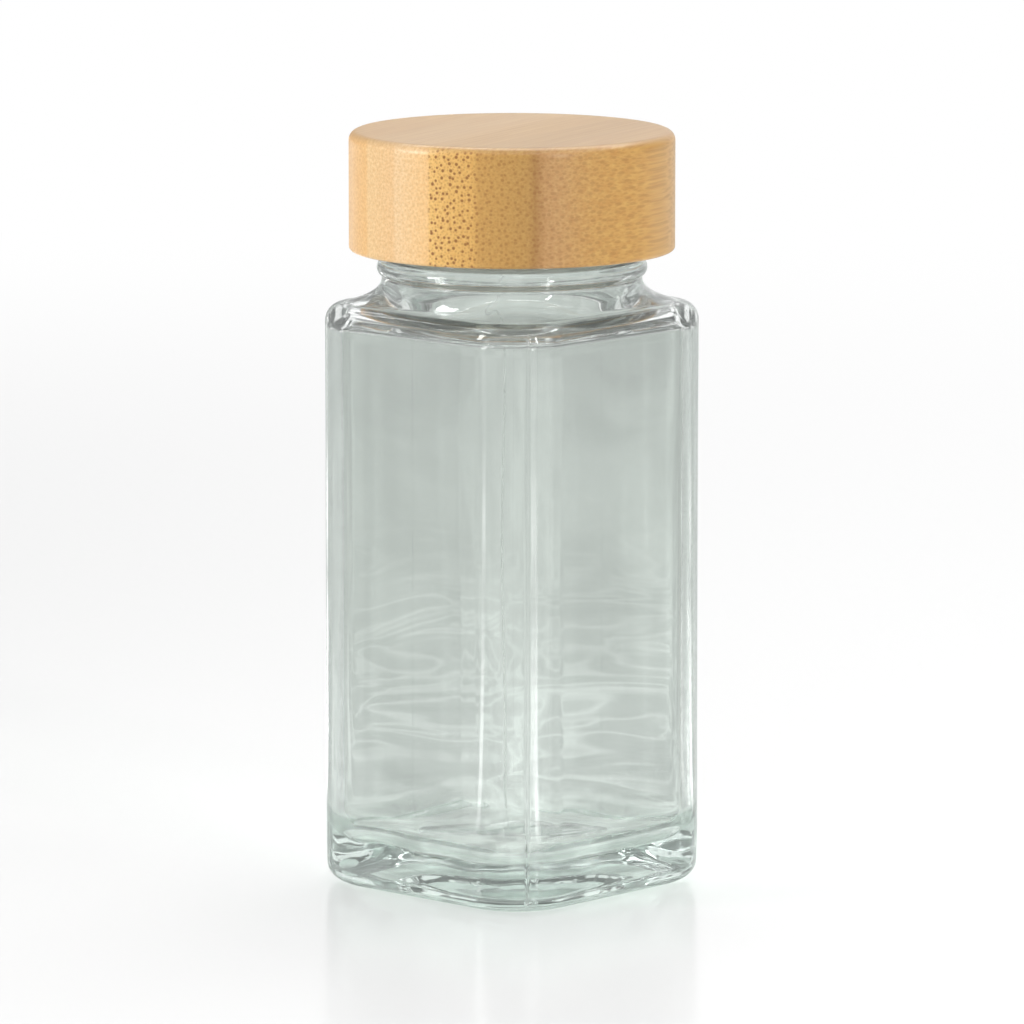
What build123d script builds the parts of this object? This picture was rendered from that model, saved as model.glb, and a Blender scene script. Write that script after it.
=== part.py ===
from build123d import *
from math import cos, radians, sin, tan
import os

# A square glass spice jar with a turned bamboo screw lid, in millimetres. The jar stands on
# its base at z = 0, centred on the Z axis, with its flat sides square to X and Y.

# Body of the glass jar
body_width = 43.0
body_corner_radius = 9.0
body_height = 84.0  # to where the rounded top edge of the flat sides ends
body_edge_radius = 2.6  # round-over from the flat sides to the shoulder
heel_radius = 2.8
glass_wall = 2.3
corner_gain = 1.3  # how much larger the inside corners' radius is than the wall alone would leave it
base_thickness = 6.2
floor_radius = 5.0  # inside, from the floor to the walls
foot_width = 5.2  # flat ring the jar stands on, from the heel in to the push-up
push_up_depth = 1.4
push_up_edge_radius = 0.8

# Shoulder and neck of the glass jar
shoulder_rise = 3.3  # from the square body up to the round neck
shoulder_wall = 1.9
shoulder_inner_radius = 2.0  # inside, from the walls to the shoulder
shoulder_steps = 4  # sections that shape it, above the first
shoulder_start = 30.0  # degrees of the quarter ellipse that its curve leaves out at its foot
shoulder_ledge = 0.1  # level strip between the rounded edges and the foot of the shoulder
neck_set_in = 0.3  # from the rounded top edge of the flat sides in to the neck
neck_length = 12.8  # from the shoulder to the rim
neck_wall = 2.4  # at the root of the screw thread
rim_outer_radius = 0.9  # round-over of the rim's outer edge
rim_inner_radius = 0.4
ring_stand = 0.7  # how far the rounded ring just above the shoulder stands out from the neck
ring_height = 2.3
ring_centre = 1.7  # above the shoulder
bead_stand = 1.0  # how far the transfer bead, half hidden by the lid, stands out from the neck
bead_height = 2.2
bead_centre = 4.1  # above the shoulder
thread_depth = 1.15  # how far the glass thread stands out from the neck

# Sifter insert
sifter_flange_thickness = 1.0
sifter_flange_setback = 0.6  # the flange stops short of the rim's outer edge
sifter_flange_radius = 0.3  # round-over of the flange's outer edge
sifter_wall = 1.0
sifter_wall_clearance = 0.35
sifter_plug_depth = 6.5
sifter_recess = 2.6  # from the top of the flange down to the holed disc
sifter_disc_thickness = 1.0
sifter_lead_in = 0.5
sifter_hole_radius = 1.6
sifter_hole_margin = 2.85  # from the outermost holes to the wall around the disc
sifter_rings = 2  # of holes around the centre one
sifter_ring_holes = 6  # in the first ring, twice as many in the next
grip_clearance = 0.08  # between the grip ribs and the mouth
grip_foot_height = 1.4
grip_crest_height = 0.5
grip_start = 1.9  # from the underside of the flange down to the first rib
grip_pitch = 2.4
grip_count = 2

# Seal liner
liner_thickness = 1.2
liner_clearance = 0.35
liner_edge_radius = 0.2

# Inner cap
cap_top_thickness = 1.2
cap_wall = 1.0
cap_rib_depth = 0.2
cap_rib_width = 0.9
cap_rib_count = 24
thread_clearance = 0.3
cap_inset = 0.4  # the skirt ends this far above the bamboo's lower rim
cap_lead_in = 0.4
liner_stop_depth = 0.75  # ring inside the cap that keeps the liner from dropping out
liner_stop_height = 1.0
liner_stop_clearance = 0.3

# Bamboo cover
lid_wall = 1.9  # around the bore
lid_height = 17.0
lid_top_thickness = 5.0
lid_edge_radius = 1.3
lid_rim_radius = 0.5
lid_bore_chamfer = 0.3
glue_line = 0.1  # between the inner cap and the bamboo

# Heights, worked out from the base up
neck_base = body_height + shoulder_rise
rim_top = neck_base + neck_length
flange_top = rim_top + sifter_flange_thickness
liner_top = flange_top + liner_thickness
cap_top = liner_top + cap_top_thickness
lid_top = cap_top + lid_top_thickness
lid_bottom = lid_top - lid_height
cap_bottom = lid_bottom + cap_inset
plug_bottom = rim_top - sifter_plug_depth
disc_top = flange_top - sifter_recess
disc_bottom = disc_top - sifter_disc_thickness

# Radii of the jar, worked out from its width inwards
push_up_radius = body_width / 2 - heel_radius - foot_width
neck_radius = body_width / 2 - body_edge_radius - neck_set_in  # at the root of the screw thread
mouth_radius = neck_radius - neck_wall
ring_radius = neck_radius + ring_stand
bead_radius = neck_radius + bead_stand

# Radii of what fits the mouth and the neck, worked out from them
plug_radius = mouth_radius - sifter_wall_clearance
plug_bore = plug_radius - sifter_wall
sifter_hole_pitch = (plug_bore - sifter_hole_margin - sifter_hole_radius) / sifter_rings
grip_radius = mouth_radius - grip_clearance
flange_radius = neck_radius - sifter_flange_setback
cap_bore = neck_radius + thread_depth + thread_clearance
cap_skin = cap_bore + cap_wall
cap_outside = cap_skin + cap_rib_depth
lid_bore = cap_outside + glue_line
lid_radius = lid_bore + lid_wall
liner_radius = cap_bore - liner_clearance


def bowed_square(half_width, side_end, side_bow, height):
    """Section with four equal sides and four equal corners, drawn as tangent arcs.

    A side ends at side_end from its middle, and turns by side_bow degrees on the way there.
    With no bow its sides are straight, and bowed by the angle of its ends it is a circle."""
    bow = radians(side_bow)
    end = Vector(side_end, half_width - side_end * tan(bow / 2))
    corner_radius = (end.Y - end.X) / (cos(bow) - sin(bow))
    corner_middle = end.X - corner_radius * sin(bow) + corner_radius * sin(radians(45))
    with BuildSketch(Plane.XY.offset(height)) as section:
        with BuildLine():
            for turn in range(4):
                right, middle, left, corner, next_right = (
                    Vector(x, y).rotate(Axis.Z, 90 * turn)
                    for x, y in (
                        (end.X, end.Y),
                        (0, half_width),
                        (-end.X, end.Y),
                        (-corner_middle, corner_middle),
                        (-end.Y, end.X),
                    )
                )
                if side_bow == 0:
                    Line(right, left)
                else:
                    ThreePointArc(right, middle, left)
                ThreePointArc(left, corner, next_right)
        make_face()
    return section.sketch


def square_to_round(half_width, corner_radius, bottom, radius, top):
    """Shoulder from a rounded square up to a circle, along part of an ellipse that ends upright."""
    side_end = half_width - corner_radius
    full_bow = Vector(half_width, 0).get_angle(Vector(half_width, side_end))
    foot_angle = radians(shoulder_start)
    sections = []
    for step in range(shoulder_steps + 1):
        angle = foot_angle + (radians(90) - foot_angle) * step / shoulder_steps
        inward = (sin(angle) - sin(foot_angle)) / (1 - sin(foot_angle))
        upward = 1 - cos(angle) / cos(foot_angle)
        sections.append(
            bowed_square(
                half_width + (radius - half_width) * inward,
                side_end + (radius * sin(radians(full_bow)) - side_end) * inward,
                full_bow * inward,
                bottom + (top - bottom) * upward,
            )
        )
    loft(sections=sections)


# Room inside the glass: square cell with rounded floor, sloping shoulder and round mouth
cell_width = body_width - 2 * glass_wall
cell_corner_radius = body_corner_radius - glass_wall + corner_gain
cell_top = body_height - shoulder_wall
mouth_bottom = neck_base - shoulder_wall
with BuildPart() as cavity:
    with BuildSketch(Plane.XY.offset(base_thickness)):
        RectangleRounded(cell_width, cell_width, cell_corner_radius)
    extrude(amount=cell_top - base_thickness)
    fillet(cavity.faces().sort_by(Axis.Z)[0].edges(), radius=floor_radius)
    fillet(cavity.faces().sort_by(Axis.Z)[-1].edges(), radius=shoulder_inner_radius)
    square_to_round(
        cell_width / 2 - shoulder_inner_radius - shoulder_ledge,
        cell_corner_radius - shoulder_inner_radius - shoulder_ledge,
        cell_top,
        mouth_radius,
        mouth_bottom,
    )
    with BuildSketch(Plane.XY.offset(mouth_bottom)):
        Circle(mouth_radius)
    extrude(amount=rim_top - mouth_bottom)

# Glass jar: the body, its shoulder and the turned neck, with the cavity taken out
ring_z = neck_base + ring_centre
bead_z = neck_base + bead_centre
with BuildPart() as glass_jar:
    with BuildSketch():
        RectangleRounded(body_width, body_width, body_corner_radius)
    extrude(amount=body_height)
    fillet(glass_jar.faces().sort_by(Axis.Z)[0].edges(), radius=heel_radius)
    fillet(glass_jar.faces().sort_by(Axis.Z)[-1].edges(), radius=body_edge_radius)
    square_to_round(
        body_width / 2 - body_edge_radius - shoulder_ledge,
        body_corner_radius - body_edge_radius - shoulder_ledge,
        body_height,
        neck_radius,
        neck_base,
    )
    with BuildSketch(Plane.XZ):
        with BuildLine():
            neck_foot = Line((0, neck_base), (neck_radius, neck_base))
            below_ring = Line(neck_foot @ 1, (neck_radius, ring_z - ring_height / 2))
            ring = ThreePointArc(
                below_ring @ 1, (ring_radius, ring_z), (neck_radius, ring_z + ring_height / 2)
            )
            groove = Line(ring @ 1, (neck_radius, bead_z - bead_height / 2))
            bead = ThreePointArc(
                groove @ 1, (bead_radius, bead_z), (neck_radius, bead_z + bead_height / 2)
            )
            thread_root = Line(bead @ 1, (neck_radius, rim_top - rim_outer_radius))
            rim_edge = JernArc(thread_root @ 1, (0, 1), rim_outer_radius, 90)
            rim = Line(rim_edge @ 1, (0, rim_top))
            Line(rim @ 1, neck_foot @ 0)
        make_face()
    revolve(axis=Axis.Z)
    add(cavity.part, mode=Mode.SUBTRACT)
    mouth_edge = glass_jar.edges().filter_by(GeomType.CIRCLE).group_by(Axis.Z)[-1]
    fillet(mouth_edge.sort_by(SortBy.RADIUS)[0], radius=rim_inner_radius)
    push_up_sphere = (push_up_radius**2 + push_up_depth**2) / (2 * push_up_depth)
    with Locations((0, 0, push_up_depth - push_up_sphere)):
        Sphere(push_up_sphere, mode=Mode.SUBTRACT)
    foot_edge = glass_jar.edges().filter_by(GeomType.CIRCLE).group_by(Axis.Z)[0]
    fillet(foot_edge.sort_by(SortBy.RADIUS)[-1], radius=push_up_edge_radius)

# Sifter insert: flange on the rim, grip ribs in the mouth and a holed disc to shake through
with BuildPart() as sifter_insert:
    outline = [(plug_bore, flange_top), (flange_radius, flange_top)]
    outline += [(flange_radius, rim_top), (plug_radius, rim_top)]
    for rib in range(grip_count):
        rib_z = rim_top - grip_start - grip_pitch * rib
        outline += [
            (plug_radius, rib_z + grip_foot_height / 2),
            (grip_radius, rib_z + grip_crest_height / 2),
            (grip_radius, rib_z - grip_crest_height / 2),
            (plug_radius, rib_z - grip_foot_height / 2),
        ]
    outline += [
        (plug_radius, plug_bottom + sifter_lead_in),
        (plug_radius - sifter_lead_in, plug_bottom),
        (plug_bore, plug_bottom),
        (plug_bore, disc_bottom),
        (0, disc_bottom),
        (0, disc_top),
        (plug_bore, disc_top),
    ]
    with BuildSketch(Plane.XZ):
        with BuildLine():
            Polyline(outline, close=True)
        make_face()
    revolve(axis=Axis.Z)
    round_edges = sifter_insert.edges().filter_by(GeomType.CIRCLE)
    fillet(round_edges.group_by(SortBy.RADIUS)[-1], radius=sifter_flange_radius)
    with BuildSketch(Plane.XY.offset(disc_top)):
        Circle(sifter_hole_radius)
        for ring_number in range(1, sifter_rings + 1):
            with PolarLocations(ring_number * sifter_hole_pitch, ring_number * sifter_ring_holes):
                Circle(sifter_hole_radius)
    extrude(amount=-sifter_disc_thickness, mode=Mode.SUBTRACT)

# Seal liner: loose resilient disc under the top of the cap
with BuildPart() as seal_liner:
    with BuildSketch(Plane.XY.offset(flange_top)):
        Circle(liner_radius)
    extrude(amount=liner_thickness)
    fillet(seal_liner.edges().filter_by(GeomType.CIRCLE), radius=liner_edge_radius)

# Inner cap: plastic skirt and top, with the ring that keeps the liner in and ribs for the glue
stop_top = flange_top - liner_stop_clearance
with BuildPart() as inner_cap:
    with BuildSketch(Plane.XZ):
        with BuildLine():
            Polyline(
                (0, cap_top),
                (cap_skin, cap_top),
                (cap_skin, cap_bottom),
                (cap_bore + cap_lead_in, cap_bottom),
                (cap_bore, cap_bottom + cap_lead_in),
                (cap_bore, stop_top - liner_stop_height),
                (cap_bore - liner_stop_depth, stop_top - liner_stop_height / 2),
                (cap_bore, stop_top),
                (cap_bore, liner_top),
                (0, liner_top),
                close=True,
            )
        make_face()
    revolve(axis=Axis.Z)
    with BuildSketch(Plane.XY.offset(cap_bottom)):
        with PolarLocations(cap_skin, cap_rib_count):
            Rectangle(2 * cap_rib_depth, cap_rib_width)
    extrude(amount=cap_top - cap_bottom)

# Bamboo cover: turned from a laminated block and bored from below for the inner cap
with BuildPart() as bamboo_cover:
    with BuildSketch(Plane.XY.offset(lid_bottom)):
        Circle(lid_radius)
    extrude(amount=lid_height)
    fillet(bamboo_cover.edges().group_by(Axis.Z)[-1], radius=lid_edge_radius)
    fillet(bamboo_cover.edges().group_by(Axis.Z)[0], radius=lid_rim_radius)
    with BuildSketch(Plane.XY.offset(lid_bottom)):
        Circle(lid_bore)
    extrude(amount=cap_top - lid_bottom, mode=Mode.SUBTRACT)
    bore_edge = bamboo_cover.edges().filter_by(GeomType.CIRCLE).group_by(Axis.Z)[0]
    chamfer(bore_edge.sort_by(SortBy.RADIUS)[0], length=lid_bore_chamfer)

glass_jar.part.label = "glass_jar"
sifter_insert.part.label = "sifter_insert"
seal_liner.part.label = "seal_liner"
inner_cap.part.label = "inner_cap"
bamboo_cover.part.label = "bamboo_cover"

os.makedirs("parts", exist_ok=True)
export_step(glass_jar.part, "parts/glass_jar.step")
export_step(sifter_insert.part, "parts/sifter_insert.step")
export_step(seal_liner.part, "parts/seal_liner.step")
export_step(inner_cap.part, "parts/inner_cap.step")
export_step(bamboo_cover.part, "parts/bamboo_cover.step")

cubic_mm_in_ml = 1000
print(f"brimful capacity {cavity.part.volume / cubic_mm_in_ml:.0f} ml")
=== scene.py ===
import math

import bpy
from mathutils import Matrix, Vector, noise


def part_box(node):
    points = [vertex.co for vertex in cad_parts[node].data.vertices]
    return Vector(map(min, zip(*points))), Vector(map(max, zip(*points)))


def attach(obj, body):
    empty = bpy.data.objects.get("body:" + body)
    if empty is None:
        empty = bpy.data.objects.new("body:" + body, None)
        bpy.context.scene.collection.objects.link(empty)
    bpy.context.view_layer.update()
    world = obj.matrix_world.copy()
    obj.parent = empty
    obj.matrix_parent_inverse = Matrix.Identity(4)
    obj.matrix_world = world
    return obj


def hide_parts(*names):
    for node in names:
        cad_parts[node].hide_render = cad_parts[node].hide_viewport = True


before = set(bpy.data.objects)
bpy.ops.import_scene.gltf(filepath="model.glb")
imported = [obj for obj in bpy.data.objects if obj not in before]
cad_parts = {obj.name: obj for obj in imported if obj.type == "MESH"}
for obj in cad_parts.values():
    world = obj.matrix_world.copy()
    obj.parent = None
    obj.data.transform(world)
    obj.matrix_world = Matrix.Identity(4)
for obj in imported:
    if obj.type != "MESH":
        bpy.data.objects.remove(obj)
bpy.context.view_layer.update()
mm = 0.001


# Small tools for shapes

def shares(count):
    # even steps from 0 to 1
    return [step / count for step in range(count + 1)]


def progress(value, start, end):
    # how far a value has come from start to end, held between 0 and 1
    return max(0.0, min(1.0, (value - start) / (end - start)))


def soft(share):
    # eases a share in and out
    return share * share * (3 - 2 * share)


def ringOf(radius, count, height=0.0):
    # points evenly round the axis
    turns = [math.tau * j / count for j in range(count)]
    return [Vector((radius * math.cos(turn), radius * math.sin(turn), height)) for turn in turns]


def quarterRound(radius, count):
    # (rise, inset) along a quarter round, from where it leaves an upright wall
    turns = [math.pi / 2 * share for share in shares(count)]
    return [(radius * math.sin(turn), radius * (1 - math.cos(turn))) for turn in turns]


def roundedOutline(corners, steps=6):
    # corners are (radius, height, rounding) in mm, from the start of the outline to its end
    points = [Vector(corners[0][:2])]
    for before, here, after in zip(corners, corners[1:], corners[2:]):
        corner = Vector(here[:2])
        if here[2] == 0:
            points.append(corner)
            continue
        inward = (Vector(before[:2]) - corner).normalized()
        onward = (Vector(after[:2]) - corner).normalized()
        halfAngle = inward.angle(onward) / 2
        reach = here[2] / math.tan(halfAngle)
        centre = corner + (inward + onward).normalized() * here[2] / math.sin(halfAngle)
        start = corner + inward * reach - centre
        end = corner + onward * reach - centre
        sweep = math.copysign(math.pi - 2 * halfAngle, start.x * end.y - start.y * end.x)
        for share in shares(steps):
            angle = sweep * share
            points.append(centre + Vector((
                start.x * math.cos(angle) - start.y * math.sin(angle),
                start.x * math.sin(angle) + start.y * math.cos(angle),
            )))
    points.append(Vector(corners[-1][:2]))
    return points


def addObject(name, data):
    added = bpy.data.objects.new(name, data)
    bpy.context.scene.collection.objects.link(added)
    return added


def closedSkin(name, rings, ringShaped=False):
    # rings of points in mm, first to last; the ends close on a pole, or on each other
    count = len(rings[0])
    verts = [point * mm for ring in rings for point in ring]
    faces = []
    for low in range(len(rings) - (0 if ringShaped else 1)):
        high = (low + 1) % len(rings)
        for j in range(count):
            k = (j + 1) % count
            faces.append((low * count + j, low * count + k, high * count + k, high * count + j))
    if not ringShaped:
        for ring, flip in ((0, True), (len(rings) - 1, False)):
            pole = len(verts)
            verts.append(sum(rings[ring], Vector()) / count * mm)
            for j in range(count):
                a, b = ring * count + j, ring * count + (j + 1) % count
                faces.append((b, a, pole) if flip else (a, b, pole))
    mesh = bpy.data.meshes.new(name)
    mesh.from_pydata(verts, [], faces)
    mesh.polygons.foreach_set("use_smooth", [True] * len(mesh.polygons))
    return addObject(name, mesh)


def turned(name, outline, segments=192, ringShaped=False):
    return closedSkin(name, [ringOf(point.x, segments, point.y) for point in outline], ringShaped)


# Small tools for node trees

def fromHex(code):
    channels = [int(code[i:i + 2], 16) / 255 for i in (1, 3, 5)]
    return tuple(c / 12.92 if c <= 0.04045 else ((c + 0.055) / 1.055) ** 2.4 for c in channels) + (1,)


def setStops(elements, stops):
    # each stop is a position with a hex tone, or with a number for a grey
    while len(elements) < len(stops):
        elements.new(0.5)
    for element, (position, tone) in zip(elements, stops):
        element.position = position
        element.color = fromHex(tone) if isinstance(tone, str) else (tone, tone, tone, 1)


def addNode(tree, kind, settings={}, links={}):
    # a link is a socket, a node or a list of nodes that stand for their first outputs, or a plain value
    node = tree.nodes.new(kind)
    for name, value in settings.items():
        if name == "stops":
            setStops(node.color_ramp.elements, value)
        else:
            setattr(node, name, value)
    for name, given in links.items():
        for value in given if isinstance(given, list) else [given]:
            if isinstance(value, bpy.types.Node):
                value = value.outputs[0]
            if isinstance(value, bpy.types.NodeSocket):
                tree.links.new(value, node.inputs[name])
            else:
                node.inputs[name].default_value = value
    return node


def combined(tree, kind, operation, first, *others):
    # the same operation over two or more values, one node after another
    for other in others:
        first = addNode(tree, kind, {"operation": operation}, {0: first, 1: other})
    return first


def startMaterial(name):
    material = bpy.data.materials.new(name)
    material.use_nodes = True
    material.node_tree.nodes.clear()
    return material, material.node_tree


# Materials

glassFinish = {
    "ior": 1.52,
    "absorbed": (5.2, 3.0, 3.8),  # per metre, in red, green and blue
    "straight": 0.11,  # share that passes unbent, for the light that long paths inside the walls lose
    "tint": "#fafbfa",
    "seen": "#eef3f0",
}


def sodaLimeGlass():
    # Fire-polished soda-lime glass: clear and colourless across a wall, grey-green in its edges and base
    material, tree = startMaterial("moulded soda-lime glass")
    body = addNode(tree, "ShaderNodeBsdfPrincipled", {}, {
        "Base Color": fromHex(glassFinish["tint"]),
        "Roughness": 0.0,
        "IOR": glassFinish["ior"],
        "Alpha": 1 - glassFinish["straight"],
        "Transmission Weight": 1.0,
    })
    letThrough = addNode(tree, "ShaderNodeBsdfTransparent", {}, {"Color": fromHex(glassFinish["seen"])})
    path = addNode(tree, "ShaderNodeLightPath").outputs
    surface = addNode(tree, "ShaderNodeMixShader", {}, {0: path["Is Shadow Ray"], 1: body, 2: letThrough})
    density = 2 * max(glassFinish["absorbed"])
    tint = addNode(tree, "ShaderNodeVolumeAbsorption", {}, {
        "Color": tuple(1 - share / density for share in glassFinish["absorbed"]) + (1,),
        "Density": density,
    })
    addNode(tree, "ShaderNodeOutputMaterial", {}, {"Surface": surface, "Volume": tint})
    return material


bambooFinish = {
    "grainAzimuth": 15.6,  # degrees from -Y towards +X, the way the grain runs
    # mm from one dark fibre to the next, then their core and soft edge as shares of that
    "bundles": (1.0, 0.13, 0.17),
    "fineFibres": (0.5, 0.14, 0.28),
    "wander": 0.9,  # how far fibres stray from straight, in mm
    "halfWidth": 23.25,
    "upwardToneWithSheen": "#b79665",  # on faces that look up, as the top does: long-grain colour with painted sheen that evens out the laminations
    "fibreTone": "#8a5518",
    "streakTones": ("#ecdcc6", "#ffffff"),
    # Where each stop stands across the laminations, in mm, with its tone and its share of dark bundles
    "laminations": [
        (-23.0, "#e3b26c", 0.12),
        (-13.0, "#e6ba78", 0.10),
        (-12.4, "#e8c690", 0.10),
        (-7.2, "#e5c08c", 0.12),
        (-6.6, "#e8c99b", 0.10),
        (-1.0, "#e9c184", 0.14),
        (-0.6, "#e3b96a", 1.00),
        (5.8, "#d8ac5d", 0.90),
        (6.6, "#c59a4f", 0.55),
        (13.0, "#bb924a", 0.42),
        (13.8, "#aa7e3c", 0.50),
        (15.0, "#c1955a", 0.36),
        (20.0, "#cfa258", 0.30),
        (22.8, "#d4a556", 0.26),
    ],
}


def fibreDots(tree, section, spacing, core, edge):
    # cut ends of fibres, dark in the middle, and each a little larger or smaller than the next
    cells = addNode(tree, "ShaderNodeTexVoronoi", {"voronoi_dimensions": "2D"}, {
        "Vector": section, "Scale": 1 / spacing, "Randomness": 0.8,
    })
    size = addNode(tree, "ShaderNodeMapRange", {}, {
        "Value": cells.outputs["Color"], "To Min": core * 0.6, "To Max": core * 1.3,
    })
    fringe = combined(tree, "ShaderNodeMath", "ADD", size, edge)
    return addNode(tree, "ShaderNodeMapRange", {"interpolation_type": "SMOOTHSTEP"}, {
        "Value": cells.outputs["Distance"],
        "From Min": size,
        "From Max": fringe,
        "To Min": 1.0,
        "To Max": 0.0,
    })


def turnedBamboo():
    # Laminated bamboo, turned, sanded and clear coated: dots of cut fibre on end grain, streaks along it
    material, tree = startMaterial("turned laminated bamboo")
    # X across the laminations, Y along the grain, Z up, all in mm
    board = addNode(tree, "ShaderNodeMapping", {"vector_type": "TEXTURE"}, {
        "Vector": addNode(tree, "ShaderNodeTexCoord").outputs["Object"],
        "Rotation": (0, 0, math.radians(bambooFinish["grainAzimuth"])),
        "Scale": (mm, mm, mm),
    })
    # fibres stray about every 11 mm
    stray = addNode(tree, "ShaderNodeTexNoise", {}, {"Vector": board, "Scale": 0.09, "Detail": 2.0})
    stray = addNode(tree, "ShaderNodeVectorMath", {"operation": "MULTIPLY_ADD"}, {
        0: stray.outputs["Color"], 1: (bambooFinish["wander"],) * 3, 2: board,
    })
    parts = addNode(tree, "ShaderNodeSeparateXYZ", {}, {0: stray}).outputs
    section = addNode(tree, "ShaderNodeCombineXYZ", {}, {0: parts["X"], 1: parts["Z"]})
    half = bambooFinish["halfWidth"]
    spot = addNode(tree, "ShaderNodeMapRange", {}, {
        "Value": parts["X"], "From Min": -half, "From Max": half,
    })
    stops = [((x + half) / (2 * half), code, dark) for x, code, dark in bambooFinish["laminations"]]
    tone = addNode(tree, "ShaderNodeValToRGB", {"stops": [(x, code) for x, code, dark in stops]}, {0: spot})
    dark = addNode(tree, "ShaderNodeValToRGB", {"stops": [(x, dark) for x, code, dark in stops]}, {0: spot})
    facing = addNode(tree, "ShaderNodeNewGeometry").outputs["Normal"]
    upward = addNode(tree, "ShaderNodeSeparateXYZ", {}, {0: facing}).outputs["Z"]
    # 1 on the sides, less on faces that look up: fewer fibre dots there, and a tone with painted sheen
    sideShare = addNode(tree, "ShaderNodeMapRange", {}, {
        "Value": upward, "From Min": 0.3, "From Max": 0.95, "To Min": 1.0, "To Max": 0.2,
    })
    coarse = fibreDots(tree, section, *bambooFinish["bundles"])
    coarse = combined(tree, "ShaderNodeMath", "MULTIPLY", coarse, dark)
    fineShare = addNode(tree, "ShaderNodeMapRange", {}, {"Value": dark, "To Min": 0.12, "To Max": 0.34})
    fine = fibreDots(tree, section, *bambooFinish["fineFibres"])
    fine = combined(tree, "ShaderNodeMath", "MULTIPLY", fine, fineShare)
    darkness = combined(tree, "ShaderNodeMath", "MAXIMUM", coarse, fine)
    darkness = combined(tree, "ShaderNodeMath", "MULTIPLY", darkness, sideShare)
    # streaks about 0.45 mm wide and 22 mm long
    streaks = addNode(tree, "ShaderNodeMapping", {}, {"Vector": board, "Scale": (2.2, 0.045, 2.2)})
    streakNoise = addNode(tree, "ShaderNodeTexNoise", {}, {
        "Vector": streaks, "Scale": 1.0, "Detail": 4.0, "Roughness": 0.6,
    })
    streakStops = list(zip((0.3, 0.7), bambooFinish["streakTones"]))
    streakTone = addNode(tree, "ShaderNodeValToRGB", {"stops": streakStops}, {0: streakNoise})
    # faces that look up take one even tone: painted sheen over long grain, which hides the lamination tones
    # there
    plain = addNode(tree, "ShaderNodeMix", {"data_type": "RGBA"}, {
        0: sideShare, 6: fromHex(bambooFinish["upwardToneWithSheen"]), 7: tone,
    })
    lit = addNode(tree, "ShaderNodeMix", {"data_type": "RGBA", "blend_type": "MULTIPLY"}, {
        0: 1.0, 6: plain.outputs[2], 7: streakTone,
    })
    colour = addNode(tree, "ShaderNodeMix", {"data_type": "RGBA"}, {
        0: darkness, 6: lit.outputs[2], 7: fromHex(bambooFinish["fibreTone"]),
    })
    pores = combined(tree, "ShaderNodeMath", "ADD", darkness, streakNoise)
    relief = addNode(tree, "ShaderNodeBump", {"invert": True}, {
        "Height": pores, "Strength": 0.25, "Distance": 0.06 * mm,
    })
    rough = addNode(tree, "ShaderNodeMapRange", {}, {"Value": darkness, "To Min": 0.45, "To Max": 0.65})
    body = addNode(tree, "ShaderNodeBsdfPrincipled", {}, {
        "Base Color": colour.outputs[2],
        "Roughness": rough,
        "Normal": relief,
        "Coat Weight": 0.5,
        "Coat Roughness": 0.28,
    })
    addNode(tree, "ShaderNodeOutputMaterial", {}, {"Surface": body})
    return material


def mouldedPlastic(name, tone, shade, roughness, grain, depth):
    # A faint mottle and an uneven sheen, as a mould leaves them; grain and its depth are in mm
    material, tree = startMaterial(name)
    place = addNode(tree, "ShaderNodeTexCoord").outputs["Object"]
    texture = addNode(tree, "ShaderNodeTexNoise", {}, {
        "Vector": place, "Scale": 1 / (grain * mm), "Detail": 3.0,
    })
    cloud = addNode(tree, "ShaderNodeTexNoise", {}, {"Vector": place, "Scale": 1 / (9 * mm), "Detail": 2.0})
    colour = addNode(tree, "ShaderNodeValToRGB", {"stops": [(0.35, shade), (0.65, tone)]}, {0: cloud})
    sheen = addNode(tree, "ShaderNodeMapRange", {}, {
        "Value": cloud, "To Min": roughness - 0.06, "To Max": roughness + 0.06,
    })
    relief = addNode(tree, "ShaderNodeBump", {}, {
        "Height": texture, "Strength": 0.3, "Distance": depth * mm,
    })
    body = addNode(tree, "ShaderNodeBsdfPrincipled", {}, {
        "Base Color": colour, "Roughness": sheen, "Normal": relief,
    })
    addNode(tree, "ShaderNodeOutputMaterial", {}, {"Surface": body})
    return material


glass = sodaLimeGlass()
bamboo = turnedBamboo()
# Polypropylene from a polished mould: milky white with a soft sheen
capPlastic = mouldedPlastic("natural polypropylene", "#e0ded6", "#d6d3c9", 0.38, 0.7, 0.02)
# Low-density polyethylene, softer and waxier than the cap
sifterPlastic = mouldedPlastic("natural polyethylene", "#dddbd3", "#d2cfc5", 0.30, 0.9, 0.02)
# Foamed polyethylene wad: dead white, with the fine open grain of its cells
linerFoam = mouldedPlastic("foamed polyethylene", "#e6e5e1", "#dddcd6", 0.72, 0.25, 0.04)
print("materials ready")


# Glass jar, one closed skin from the push-up, up the outside, over the rim and down the inside

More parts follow.
